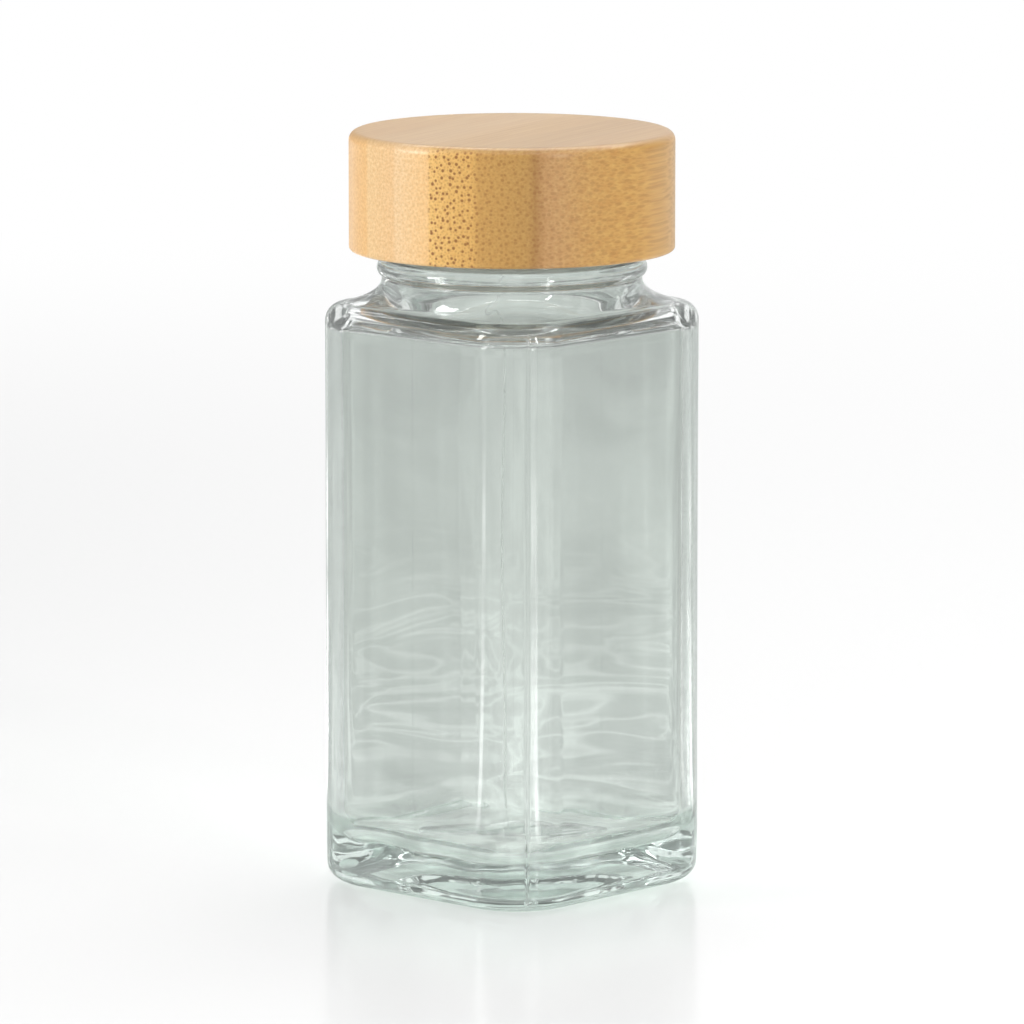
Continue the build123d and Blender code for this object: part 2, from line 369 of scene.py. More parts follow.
jarLow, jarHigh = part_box("glass_jar")
jar = {
    "half": jarHigh.x / mm,
    "top": jarHigh.z / mm,
    "corner": 9.0,
    "dish": 0.12,  # how far the middle of a flat side draws in
    "bodyTop": 84.0,
    "edge": 2.6,
    "heel": 2.8,
    "heelCornerShare": 0.3,  # how much of the heel's inset comes off the corner radius
    "pushUp": 13.5,
    "pushUpDepth": 1.4,
    "ledge": 0.1,  # step between the rounded top edge and the shoulder
    "footAngle": 30.0,  # where on its ellipse the shoulder starts
    "neckFoot": 87.3,
    "neck": 18.6,
    "bands": [(89.0, 2.3, 0.7), (91.4, 2.2, 1.0)],  # ring and bead: height, width, how far they stand out
    "rimOuter": 0.9,
    "rimInner": 0.4,
    "mouth": 16.2,
    "mouthFoot": 85.4,
    "cellTop": 82.1,
    "cellHalf": 19.2,
    "cellCorner": 7.0,
    "cellEdge": 2.0,
    "floor": 6.2,
    "floorRadius": 5.0,  # the bend between the walls and the floor of the cell
    "floorDome": 1.1,
    "cellBow": 0.15,  # share of a smooth bow in the section of the cell
    "flatColumns": 18,
    "cornerColumns": 26,
    "seamAngles": (-42.7, 137.3),
    "seamColumns": (0.13, 0.27, 0.42, 0.65),  # degrees from the middle of a seam to the columns beside it
    "seamHeight": 0.3,
    "seamWidth": 0.17,
    "seamFoot": 1.0,
    "seamFade": (84.0, 79.0),
    "waveStretch": 0.6,  # length of the waves sideways, as a share of their length upwards
}
# Unevenness of the glass in mm: how high its waves are, how long, a number that picks their pattern,
# and the heights between which they come in or go out
jar["waves"] = {
    "outside": (0.05, 17.0, 4.4, [(8.0, 20.0), (78.0, 66.0)]),
    "heel": (0.09, 4.2, 9.6, [(0.0, 1.5), (9.0, 3.0)]),
    "inside": (0.16, 17.0, 7.3, [(95.0, 83.0)]),
    "floor": (0.55, 8.5, 2.1, [(jar["floor"] + 6.0, jar["floor"])]),
}
thread = {
    "pitch": 4.233,  # six turns to the inch
    "depth": 1.12,
    "crest": 0.35,  # half widths of the crest and of the foot
    "foot": 1.25,
    "start": 93.6,  # height where it begins
    "startAngle": 60.0,
    "turns": 1.12,
    "taper": 22.0,  # degrees over which it rises from the neck
}


def folded(angle):
    # the angle from the middle of the nearest flat side
    return abs((angle + math.pi / 4) % (math.pi / 2) - math.pi / 4)


def squareRadius(angle, half, corner):
    # from the axis out to a square with rounded corners
    turn = folded(angle)
    straight = half - corner
    if half * math.tan(turn) <= straight:
        return half / math.cos(turn)
    reach = straight * (math.cos(turn) + math.sin(turn))
    return reach + math.sqrt(reach**2 - 2 * straight**2 + corner**2)


def bowedRadius(angle, half, corner):
    # the same square drawn as one smooth bow that is as wide across its sides and its corners
    across = (half - corner + corner / math.sqrt(2)) / half
    power = math.log(0.5) / math.log(across)
    return half / (abs(math.cos(angle)) ** power + abs(math.sin(angle)) ** power) ** (1 / power)


def columnAngles():
    # wider apart along the flats, close together round the corners and closest at the mould seams
    cornerStart = math.degrees(math.atan((jar["half"] - jar["corner"]) / jar["half"]))
    angles = []
    for side in range(4):
        for share in shares(jar["flatColumns"])[:-1]:
            angles.append(90 * side - cornerStart + 2 * cornerStart * share)
        for share in shares(jar["cornerColumns"])[:-1]:
            angles.append(90 * side + cornerStart + 2 * (45 - cornerStart) * share)
    for seam in jar["seamAngles"]:
        angles += [seam + side * offset for side in (-1, 1) for offset in jar["seamColumns"]]
    return sorted(math.radians(angle % 360) for angle in angles)


def within(height, spans):
    # 1 inside the spans of heights, going down to 0 across each of them
    return math.prod(progress(height, *span) for span in spans)


def wave(kind, angle, radius, height, middle=0.0):
    high, length, pattern, spans = jar["waves"][kind]
    at = Vector((radius * math.cos(angle), radius * math.sin(angle), height * jar["waveStretch"])) / length
    return high * (noise.noise(at + Vector((pattern, 0, 0))) + middle) * within(height, spans)


def seamStand(angle, radius, height):
    # the two mould seams, which fade out under the shoulder
    if height < jar["seamFoot"]:
        return 0.0
    offs = [math.remainder(angle - math.radians(seam), math.tau) for seam in jar["seamAngles"]]
    ridge = sum(math.exp(-(off * radius / jar["seamWidth"]) ** 2) for off in offs)
    return jar["seamHeight"] * progress(height, *jar["seamFade"]) * ridge


def threadStand(angle, height):
    # how far the screw thread stands out from the neck
    stand = 0.0
    for lap in range(math.ceil(thread["turns"])):
        turn = (math.degrees(angle) - thread["startAngle"]) % 360 + 360 * lap
        if turn > 360 * thread["turns"]:
            continue
        rise = min(1.0, min(turn, 360 * thread["turns"] - turn) / thread["taper"])
        off = abs(height - thread["start"] - thread["pitch"] * turn / 360)
        slope = progress(off, thread["foot"], thread["crest"])
        stand = max(stand, thread["depth"] * soft(rise) * soft(slope))
    return stand


def shoulderCurve():
    # (up, inward) shares along part of an ellipse, from the foot of the shoulder to the neck
    foot = math.radians(jar["footAngle"])
    turns = [foot + (math.pi / 2 - foot) * share for share in shares(12)[1:]]
    return [
        (1 - math.cos(turn) / math.cos(foot), (math.sin(turn) - math.sin(foot)) / (1 - math.sin(foot)))
        for turn in turns
    ]


# Each ring of the jar is (height, half and corner of a square, radius of a circle, share of the circle)

def outerRings():
    half, corner, neck = jar["half"], jar["corner"], jar["neck"]
    heel, edge, ledge = jar["heel"], jar["edge"], jar["ledge"]
    rings = []
    # push-up and the ring the jar stands on
    for share in shares(14)[1:]:
        radius = jar["pushUp"] * share
        rings.append((jar["pushUpDepth"] * (1 - share**2), radius, radius, radius, 1))
    for share in shares(6)[1:-1]:
        rings.append((0.0, half - heel, corner - jar["heelCornerShare"] * heel, jar["pushUp"], 1 - share))
    # heel, walls and the rounded top edge
    for rise, inset in reversed(quarterRound(heel, 12)):
        rings.append((heel - rise, half - inset, corner - jar["heelCornerShare"] * inset, 0, 0))
    wallTop = jar["bodyTop"] - edge
    for share in shares(60)[1:-1]:
        rings.append((heel + (wallTop - heel) * share, half, corner, 0, 0))
    for rise, inset in quarterRound(edge, 12):
        rings.append((wallTop + rise, half - inset, corner - inset, 0, 0))
    for up, inward in shoulderCurve():
        height = jar["bodyTop"] + (jar["neckFoot"] - jar["bodyTop"]) * up
        rings.append((height, half - edge - ledge, corner - edge - ledge, neck, inward))
    # neck with its ring and bead
    for height, width, stand in jar["bands"]:
        arc = ((width / 2) ** 2 + stand**2) / (2 * stand)
        for share in shares(12):
            up = width * (share - 0.5)
            out = math.sqrt(arc**2 - up**2) - arc + stand
            rings.append((height + up, neck, neck, neck + out, 1))
    bandsTop = jar["bands"][-1][0] + jar["bands"][-1][1] / 2
    neckTop = jar["top"] - jar["rimOuter"]
    for share in shares(31)[1:-1]:
        rings.append((bandsTop + (neckTop - bandsTop) * share, neck, neck, neck, 1))
    for rise, inset in quarterRound(jar["rimOuter"], 8):
        rings.append((neckTop + rise, neck, neck, neck - inset, 1))
    return rings


def innerRings():
    half, corner, mouth = jar["cellHalf"], jar["cellCorner"], jar["mouth"]
    edge, ledge, bend = jar["cellEdge"], jar["ledge"], jar["floorRadius"]
    rings = []
    # rim and mouth
    mouthTop = jar["top"] - jar["rimInner"]
    for rise, inset in reversed(quarterRound(jar["rimInner"], 6)):
        rings.append((mouthTop + rise, mouth, mouth, mouth + inset, 1))
    for share in shares(12)[1:]:
        rings.append((mouthTop + (jar["mouthFoot"] - mouthTop) * share, mouth, mouth, mouth, 1))
    # underside of the shoulder, walls and floor of the cell
    for up, inward in reversed(shoulderCurve()[:-1]):
        height = jar["cellTop"] + (jar["mouthFoot"] - jar["cellTop"]) * up
        rings.append((height, half - edge - ledge, corner - edge - ledge, mouth, inward))
    wallTop, wallFoot = jar["cellTop"] - edge, jar["floor"] + bend
    for rise, inset in reversed(quarterRound(edge, 10)):
        rings.append((wallTop + rise, half - inset, corner - inset, 0, 0))
    for share in shares(58)[1:-1]:
        rings.append((wallTop + (wallFoot - wallTop) * share, half, corner, 0, 0))
    for rise, inset in quarterRound(bend, 14):
        rings.append((wallFoot - rise, half - inset, corner - inset, 0, 0))
    for share in shares(14)[1:-1]:
        left = 1 - share
        height = jar["floor"] + jar["floorDome"] * (1 - left**2)
        rings.append((height, (half - bend) * left, (corner - bend) * left, (half - bend) * left, share))
    return rings


def jarPoint(angle, ring, inside):
    height, half, corner, circle, share = ring
    radius = squareRadius(angle, half, corner)
    if inside and share < 1:
        radius += jar["cellBow"] * (bowedRadius(angle, half, corner) - radius)
    radius = radius * (1 - share) + circle * share
    if inside:
        radius += wave("inside", angle, radius, height)
        height += wave("floor", angle, radius, height)
    else:
        dished = within(height, jar["waves"]["outside"][-1]) * (1 - share)
        radius -= jar["dish"] * math.cos(2 * folded(angle)) ** 2 * dished
        radius += wave("outside", angle, radius, height, -0.5)
        radius += wave("heel", angle, radius, height, -0.5)
        radius += seamStand(angle, radius, height) + threadStand(angle, height)
    return Vector((radius * math.cos(angle), radius * math.sin(angle), height))


def makeJar():
    angles = columnAngles()
    rings = [[jarPoint(angle, ring, False) for angle in angles] for ring in outerRings()]
    rings += [[jarPoint(angle, ring, True) for angle in angles] for ring in innerRings()]
    piece = closedSkin("moulded_glass_jar", rings)
    piece.data.materials.append(glass)
    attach(piece, "jar")
    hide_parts("glass_jar")


makeJar()
print("glass jar made")


# Bamboo cover, turned outside and bored from below

coverLow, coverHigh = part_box("bamboo_cover")
cover = {
    "radius": coverHigh.x / mm,
    "low": coverLow.z / mm,
    "top": coverHigh.z / mm,
    "bore": 21.35,
    "boreTop": 103.5,
    "boreEdge": 0.35,
    "boreChamfer": 0.3,
    "chamferEdge": 0.08,
    "topEdge": 1.3,
    "rim": 0.5,
    # extra rings that keep the flats flat: how far each is from its corner, or from the axis
    "boreRing": 1.0,
    "lowRing": 1.0,
    "sideRing": 1.8,
    "topRing": 2.0,
    "middleRing": 12.0,
    "pole": 0.6,
}


def makeCover():
    radius, low, top, bore = cover["radius"], cover["low"], cover["top"], cover["bore"]
    chamfer = cover["boreChamfer"]
    outline = roundedOutline([
        (cover["pole"], cover["boreTop"], 0),
        (bore - cover["boreRing"], cover["boreTop"], 0),
        (bore, cover["boreTop"], cover["boreEdge"]),
        (bore, low + 2 * chamfer, 0),
        (bore, low + chamfer, cover["chamferEdge"]),
        (bore + chamfer, low, cover["chamferEdge"]),
        (radius, low, cover["rim"]),
        (radius, low + cover["lowRing"], 0),
        (radius, top - cover["sideRing"], 0),
        (radius, top, cover["topEdge"]),
        (radius - cover["topRing"], top, 0),
        (cover["middleRing"], top, 0),
        (cover["pole"], top, 0),
    ])
    piece = turned("bamboo_lid_cover", outline, 256)
    piece.data.materials.append(bamboo)
    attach(piece, "lid")
    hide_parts("bamboo_cover")


makeCover()
print("bamboo cover made")


# Small tools for pieces that grow from nodes

def startGrowth(name, sizes):
    # a node tree with a named input for each size
    tree = bpy.data.node_groups.new(name, "GeometryNodeTree")
    tree.interface.new_socket("Geometry", in_out="OUTPUT", socket_type="NodeSocketGeometry")
    for label, size in sizes.items():
        kind = "NodeSocketInt" if isinstance(size, int) else "NodeSocketFloat"
        tree.interface.new_socket(label, in_out="INPUT", socket_type=kind).default_value = size
    return tree, addNode(tree, "NodeGroupInput").outputs


def endGrowth(tree, geometry, material):
    real = addNode(tree, "GeometryNodeRealizeInstances", {}, {"Geometry": geometry})
    finish = addNode(tree, "GeometryNodeSetMaterial", {}, {"Geometry": real, "Material": material})
    addNode(tree, "NodeGroupOutput", {}, {0: finish})


def grownFromNodes(name, tree, sizes):
    # evaluates a node tree once and keeps its result as a plain mesh
    seedObject = addObject(name + "_seed", bpy.data.meshes.new(name + "_seed"))
    modifier = seedObject.modifiers.new("nodes", "NODES")
    modifier.node_group = tree
    for item in tree.interface.items_tree:
        if item.in_out == "INPUT":
            modifier[item.identifier] = sizes[item.name]
    bpy.context.view_layer.update()
    evaluated = seedObject.evaluated_get(bpy.context.evaluated_depsgraph_get())
    mesh = bpy.data.meshes.new_from_object(evaluated)
    mesh.name = name
    bpy.data.objects.remove(seedObject)
    return addObject(name, mesh)


# Inner cap: a moulded skirt and top, with ribs outside for the glue and a thread inside

capLow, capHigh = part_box("inner_cap")
cap = {
    "low": capLow.z / mm,
    "top": capHigh.z / mm,
    "bore": 20.05,
    "skin": 21.05,
    "underTop": 102.3,
    "underEdge": 0.4,
    "stopLow": 99.8,
    "stopDepth": 0.75,
    "stopHeight": 1.0,
    "stopFoot": 0.15,  # roundings at the foot and the crest of the stop
    "stopCrest": 0.2,
    "boreChamfer": 0.4,
    "chamferEdge": 0.1,
    "lowEdge": 0.15,
    "topEdge": 0.3,
    # extra rings that keep the flats flat: how far each is from its corner, or from the axis
    "boreRing": 1.0,
    "lowRing": 0.5,
    "topRing": 0.8,
    "pole": 0.6,
    "ribs": 24,
    "ribWidth": 0.9,
    "ribDepth": 0.2,
    "ribShort": 1.2,  # how much shorter than the skirt the ribs are
    "threadHalf": 0.8,
    "threadTurns": 1.0,
    "threadDrop": 2.117,  # half a pitch under the glass thread that it bears on
    "threadFade": 0.06,  # share of its length over which an end thins out
    "threadTip": 0.05,  # share of its thickness that is left there
}


def capDetail():
    sizes = {
        "Rib Count": cap["ribs"],
        "Rib Radius": cap["skin"] * mm,
        "Rib Width": cap["ribWidth"] * mm,
        "Rib Depth": cap["ribDepth"] * mm,
        "Thread Radius": cap["bore"] * mm,
        "Thread Turns": cap["threadTurns"],
        "Thread Pitch": thread["pitch"] * mm,
        "Thread Size": cap["threadHalf"] * mm,
    }
    tree, given = startGrowth("ribs and thread of the cap", sizes)

    # ribs: one rounded bar, repeated round the skirt
    bar = addNode(tree, "GeometryNodeMeshCylinder", {}, {
        "Vertices": 20,
        "Side Segments": 6,
        "Radius": 1.0,
        "Depth": (cap["top"] - cap["low"] - cap["ribShort"]) * mm,
    })
    half = combined(tree, "ShaderNodeMath", "MULTIPLY", given["Rib Width"], 0.5)
    barScale = addNode(tree, "ShaderNodeCombineXYZ", {}, {"X": given["Rib Depth"], "Y": half, "Z": 1.0})
    rib = addNode(tree, "GeometryNodeTransform", {}, {"Geometry": bar, "Scale": barScale})
    spots = addNode(tree, "GeometryNodeMeshCircle", {}, {
        "Vertices": given["Rib Count"], "Radius": given["Rib Radius"],
    })
    spot = addNode(tree, "GeometryNodeInputPosition")
    facing = addNode(tree, "FunctionNodeAlignRotationToVector", {"axis": "X"}, {"Vector": spot})
    ribs = addNode(tree, "GeometryNodeInstanceOnPoints", {}, {
        "Points": spots, "Instance": rib, "Rotation": facing,
    })
    raised = addNode(tree, "GeometryNodeTransform", {}, {
        "Geometry": ribs, "Translation": (0, 0, (cap["low"] + cap["top"]) / 2 * mm),
    })

    # thread: a helix with a rounded ridge along it that thins out at both ends
    height = combined(tree, "ShaderNodeMath", "MULTIPLY", given["Thread Turns"], given["Thread Pitch"])
    helix = addNode(tree, "GeometryNodeCurveSpiral", {}, {
        "Resolution": 120,
        "Rotations": given["Thread Turns"],
        "Start Radius": given["Thread Radius"],
        "End Radius": given["Thread Radius"],
        "Height": height,
    })
    share = addNode(tree, "GeometryNodeSplineParameter").outputs["Factor"]
    ends = addNode(tree, "ShaderNodeFloatCurve", {}, {"Value": share})
    curve = ends.mapping.curves[0]
    for point, x in zip(curve.points, (0, 1)):
        point.location = (x, cap["threadTip"])
    for x in (cap["threadFade"], 1 - cap["threadFade"]):
        curve.points.new(x, 1.0)
    ends.mapping.update()
    thinned = addNode(tree, "GeometryNodeSetCurveRadius", {}, {"Curve": helix, "Radius": ends})
    upright = addNode(tree, "GeometryNodeSetCurveNormal", {"mode": "Z_UP"}, {"Curve": thinned})
    section = addNode(tree, "GeometryNodeCurvePrimitiveCircle", {}, {
        "Resolution": 14, "Radius": given["Thread Size"],
    })
    ridge = addNode(tree, "GeometryNodeCurveToMesh", {}, {
        "Curve": upright, "Profile Curve": section, "Fill Caps": True,
    })
    seated = addNode(tree, "GeometryNodeTransform", {}, {
        "Geometry": ridge,
        "Translation": (0, 0, (thread["start"] - cap["threadDrop"]) * mm),
        "Rotation": (0, 0, math.radians(thread["startAngle"])),
    })
    both = addNode(tree, "GeometryNodeJoinGeometry", {}, {0: [raised, seated]})
    smooth = addNode(tree, "GeometryNodeSetShadeSmooth", {}, {"Geometry": both})
    endGrowth(tree, smooth, capPlastic)
    return grownFromNodes("cap_ribs_and_thread", tree, sizes)


def makeCap():
    bore, skin, low, top = cap["bore"], cap["skin"], cap["low"], cap["top"]
    stopLow, stopTop = cap["stopLow"], cap["stopLow"] + cap["stopHeight"]
    chamfer = cap["boreChamfer"]
    outline = roundedOutline([
        (cap["pole"], cap["underTop"], 0),
        (bore - cap["boreRing"], cap["underTop"], 0),
        (bore, cap["underTop"], cap["underEdge"]),
        (bore, stopTop, cap["stopFoot"]),
        (bore - cap["stopDepth"], (stopLow + stopTop) / 2, cap["stopCrest"]),
        (bore, stopLow, cap["stopFoot"]),
        (bore, stopLow - cap["lowRing"], 0),
        (bore, low + chamfer, cap["chamferEdge"]),
        (bore + chamfer, low, cap["chamferEdge"]),
        (skin, low, cap["lowEdge"]),
        (skin, low + cap["lowRing"], 0),
        (skin, top - cap["topRing"], 0),
        (skin, top, cap["topEdge"]),
        (skin - cap["topRing"], top, 0),
        (cap["pole"], top, 0),
    ])
    piece = turned("cap_skirt_and_top", outline)
    piece.data.materials.append(capPlastic)
    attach(piece, "lid")
    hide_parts("inner_cap")
    detail = capDetail()
    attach(detail, "lid")


makeCap()
print("inner cap made")


# Seal liner: a loose disc, pressed a little thinner where it bears on the sifter's flange

linerLow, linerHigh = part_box("seal_liner")
liner = {
    "radius": linerHigh.x / mm,
    "low": linerLow.z / mm,
    "top": linerHigh.z / mm,
    "edge": 0.25,
    "printRadius": 16.9,
    "printWidth": 1.9,
    "printDepth": 0.06,
    "printSlope": 0.4,
    "printEdge": 0.1,
    "topRing": 0.8,
    "pole": 0.5,
}


def makeLiner():
    radius, low, top, slope = liner["radius"], liner["low"], liner["top"], liner["printSlope"]
    inside = liner["printRadius"] - liner["printWidth"] / 2
    outside = liner["printRadius"] + liner["printWidth"] / 2
    pressed = low + liner["printDepth"]
    outline = roundedOutline([
        (liner["pole"], pressed, 0),
        (inside - slope, pressed, liner["printEdge"]),
        (inside, low, liner["printEdge"]),
        (outside, low, liner["printEdge"]),
        (outside + slope, pressed, liner["printEdge"]),
        (radius, pressed, liner["edge"]),
        (radius, top, liner["edge"]),
        (radius - liner["topRing"], top, 0),
        (liner["pole"], top, 0),
    ])
    piece = turned("liner_disc", outline)
    piece.data.materials.append(linerFoam)
    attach(piece, "liner")
    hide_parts("seal_liner")


makeLiner()
print("seal liner made")


# Sifter insert: flange and ribbed plug, with the holed disc grown across it

sifterLow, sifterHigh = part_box("sifter_insert")
sifter = {
    "low": sifterLow.z / mm,
    "top": sifterHigh.z / mm,
    "flange": sifterHigh.x / mm,
    "flangeThickness": 1.0,
    "flangeEdge": 0.3,
    "flangeUnder": 0.2,
    "flangeRoot": 0.12,
    "plug": 15.85,
    "plugChamfer": 0.5,
    "chamferEdge": 0.15,
    "bore": 14.85,
    "boreEdge": 0.2,
    "boreRing": 1.0,
    "rib": 16.12,
    "ribHeights": (98.2, 95.8),
    "ribHalf": 0.7,  # half heights of a rib at its foot and at its crest, then the roundings there
    "ribCrestHalf": 0.25,
    "ribFoot": 0.05,
    "ribCrest": 0.1,
    "discTop": 98.5,
    "discThickness": 1.0,
    "discOverlap": 0.3,
    "discEdge": 0.18,
    "holeRadius": 1.6,
    "holePitch": 5.2,
    "rings": ((0, 1), (1, 6), (2, 12)),  # how many pitches out from the middle, and how many holes
    "merge": 0.001,
}


def sifterDisc():
    sizes = {
        "Disc Radius": (sifter["bore"] + sifter["discOverlap"]) * mm,
        "Hole Radius": sifter["holeRadius"] * mm,
        "Hole Pitch": sifter["holePitch"] * mm,
        "Thickness": sifter["discThickness"] * mm,
    }
    tree, given = startGrowth("holed disc of the sifter", sizes)
    rimCurve = addNode(tree, "GeometryNodeCurvePrimitiveCircle", {}, {
        "Resolution": 128, "Radius": given["Disc Radius"],
    })
    holeCurve = addNode(tree, "GeometryNodeCurvePrimitiveCircle", {}, {
        "Resolution": 40, "Radius": given["Hole Radius"],
    })
    curves = [rimCurve]
    for number, count in sifter["rings"]:
        if number == 0:
            spots = addNode(tree, "GeometryNodePoints", {}, {"Count": count})
        else:
            reach = combined(tree, "ShaderNodeMath", "MULTIPLY", given["Hole Pitch"], float(number))
            spots = addNode(tree, "GeometryNodeMeshCircle", {}, {"Vertices": count, "Radius": reach})
        holes = addNode(tree, "GeometryNodeInstanceOnPoints", {}, {"Points": spots, "Instance": holeCurve})
        curves.append(addNode(tree, "GeometryNodeRealizeInstances", {}, {"Geometry": holes}))
    outlines = addNode(tree, "GeometryNodeJoinGeometry", {}, {0: curves})
    sheet = addNode(tree, "GeometryNodeFillCurve", {"mode": "NGONS"}, {"Curve": outlines})
    raised = addNode(tree, "GeometryNodeExtrudeMesh", {}, {
        "Mesh": sheet, "Offset Scale": given["Thickness"], "Individual": False,
    })
    under = addNode(tree, "GeometryNodeFlipFaces", {}, {"Mesh": sheet})
    both = addNode(tree, "GeometryNodeJoinGeometry", {}, {0: [raised, under]})
    merged = addNode(tree, "GeometryNodeMergeByDistance", {}, {
        "Geometry": both, "Distance": sifter["merge"] * mm,
    })
    seated = addNode(tree, "GeometryNodeTransform", {}, {
        "Geometry": merged, "Translation": (0, 0, (sifter["discTop"] - sifter["discThickness"]) * mm),
    })
    endGrowth(tree, seated, sifterPlastic)
    return grownFromNodes("sifter_disc", tree, sizes)


def makeSifter():
    low, top, plug, bore = sifter["low"], sifter["top"], sifter["plug"], sifter["bore"]
    flange, underFlange = sifter["flange"], top - sifter["flangeThickness"]
    chamfer = sifter["plugChamfer"]
    corners = [
        (bore, underFlange, 0),
        (bore, top, sifter["flangeEdge"]),
        (flange, top, sifter["flangeEdge"]),
        (flange, underFlange, sifter["flangeUnder"]),
        (plug, underFlange, sifter["flangeRoot"]),
    ]
    for height in sifter["ribHeights"]:
        corners += [
            (plug, height + sifter["ribHalf"], sifter["ribFoot"]),
            (sifter["rib"], height + sifter["ribCrestHalf"], sifter["ribCrest"]),
            (sifter["rib"], height - sifter["ribCrestHalf"], sifter["ribCrest"]),
            (plug, height - sifter["ribHalf"], sifter["ribFoot"]),
        ]
    corners += [
        (plug, low + chamfer, sifter["chamferEdge"]),
        (plug - chamfer, low, sifter["chamferEdge"]),
        (bore, low, sifter["boreEdge"]),
        (bore, low + sifter["boreRing"], 0),
    ]
    piece = turned("sifter_flange_and_plug", roundedOutline(corners), ringShaped=True)
    piece.data.materials.append(sifterPlastic)
    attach(piece, "sifter")
    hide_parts("sifter_insert")
    disc = sifterDisc()
    softened = disc.modifiers.new("softened edges", "BEVEL")
    softened.width = sifter["discEdge"] * mm
    softened.segments = 3
    softened.limit_method = "ANGLE"
    softened.angle_limit = math.radians(50)
    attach(disc, "sifter")


makeSifter()
print("sifter insert made")


# Studio: pale floor, white surroundings, soft lamps and the camera

studio = {
    "cameraAzimuth": 42.6,  # degrees from -Y towards +X
    "cameraDistance": 1.207,  # level distance and height, in metres
    "cameraHeight": 0.2454,
    "aimHeight": 0.0535,
    "lens": 300.0,  # mm, as the sensor is
    "sensor": 36.0,
    "farthest": 50.0,  # metres that the camera sees
    # name, degrees round from the camera, then in metres its distance, height, width, length, then its
    # power in watts and the height that it aims at
    "lamps": [
        ("key_softbox", -72, 0.8, 0.38, 0.16, 0.42, 3.3, 0.06),
        ("strip_softbox", 35, 0.95, 0.36, 0.06, 0.5, 2.05, 0.06),
        ("overhead_softbox", 160, 0.35, 0.95, 0.6, 0.6, 2.9, 0.05),
    ],
    "floorRadius": 6.0,
    "laminate": "#f4f4f4",
    "fadeStart": 0.16,  # where the lit floor starts to fade into plain white
    "fadeEnd": 0.75,
    "reflectedFloor": "#e5eae7",  # tone of the floor in reflections
    # the floor as the glass shows it: its tones by distance in metres, and how little it is lit
    "throughTones": [(0.10, "#d8dfdb"), (0.30, "#d0d7d2"), (0.60, "#c8ceca")],
    "throughPlain": 0.85,
    "sectorShade": 0.84,  # tone of its darker sectors
    "stripAngle": -18.0,  # degrees from +X to the first bright panel
    "stripStrength": 7.0,
    "stripThroughGlass": 0.06,  # the share of that which shows by way of the inside of the glass
    "roomTones": (0.45, 0.9),  # between the panels of the room, and on them
    "ceilingTone": 0.8,
    "gapTones": (0.08, 1.15),  # in the gaps that the glass shows, and beside them
    "bandHeight": 0.74,  # sine of how far up the bright band stands
    "bandStrength": 10.0,
    "bandThroughGlass": 0.15,
}


def standAndAim(thing, azimuth, distance, height, aimHeight):
    turn = math.radians(azimuth)
    thing.location = (distance * math.sin(turn), -distance * math.cos(turn), height)
    aim = Vector((0, 0, aimHeight)) - thing.location
    thing.rotation_euler = aim.to_track_quat("-Z", "Y").to_euler()


def azimuthAndHeight(tree, place):
    x, y, z = addNode(tree, "ShaderNodeSeparateXYZ", {}, {0: place}).outputs
    return addNode(tree, "ShaderNodeMath", {"operation": "ARCTAN2"}, {0: y, 1: x}), z


def repeatedRound(tree, azimuth, count, start, limits, tones):
    # a change between two tones, made count times round the axis and fullest at the angle start
    turn = addNode(tree, "ShaderNodeMath", {"operation": "MULTIPLY_ADD"}, {
        0: azimuth, 1: count, 2: -count * math.radians(start),
    })
    swing = addNode(tree, "ShaderNodeMath", {"operation": "COSINE"}, {0: turn})
    return addNode(tree, "ShaderNodeMapRange", {"interpolation_type": "SMOOTHSTEP"}, {
        "Value": swing,
        "From Min": limits[0],
        "From Max": limits[1],
        "To Min": tones[0],
        "To Max": tones[1],
    })


def mostlyMirrored(tree, path, throughShare):
    # whole in reflections, and a share of that by way of the inside of the glass
    share = addNode(tree, "ShaderNodeMapRange", {}, {
        "Value": path["Is Transmission Ray"], "To Min": 1.0, "To Max": throughShare,
    })
    return combined(tree, "ShaderNodeMath", "MULTIPLY", share, path["Is Glossy Ray"])


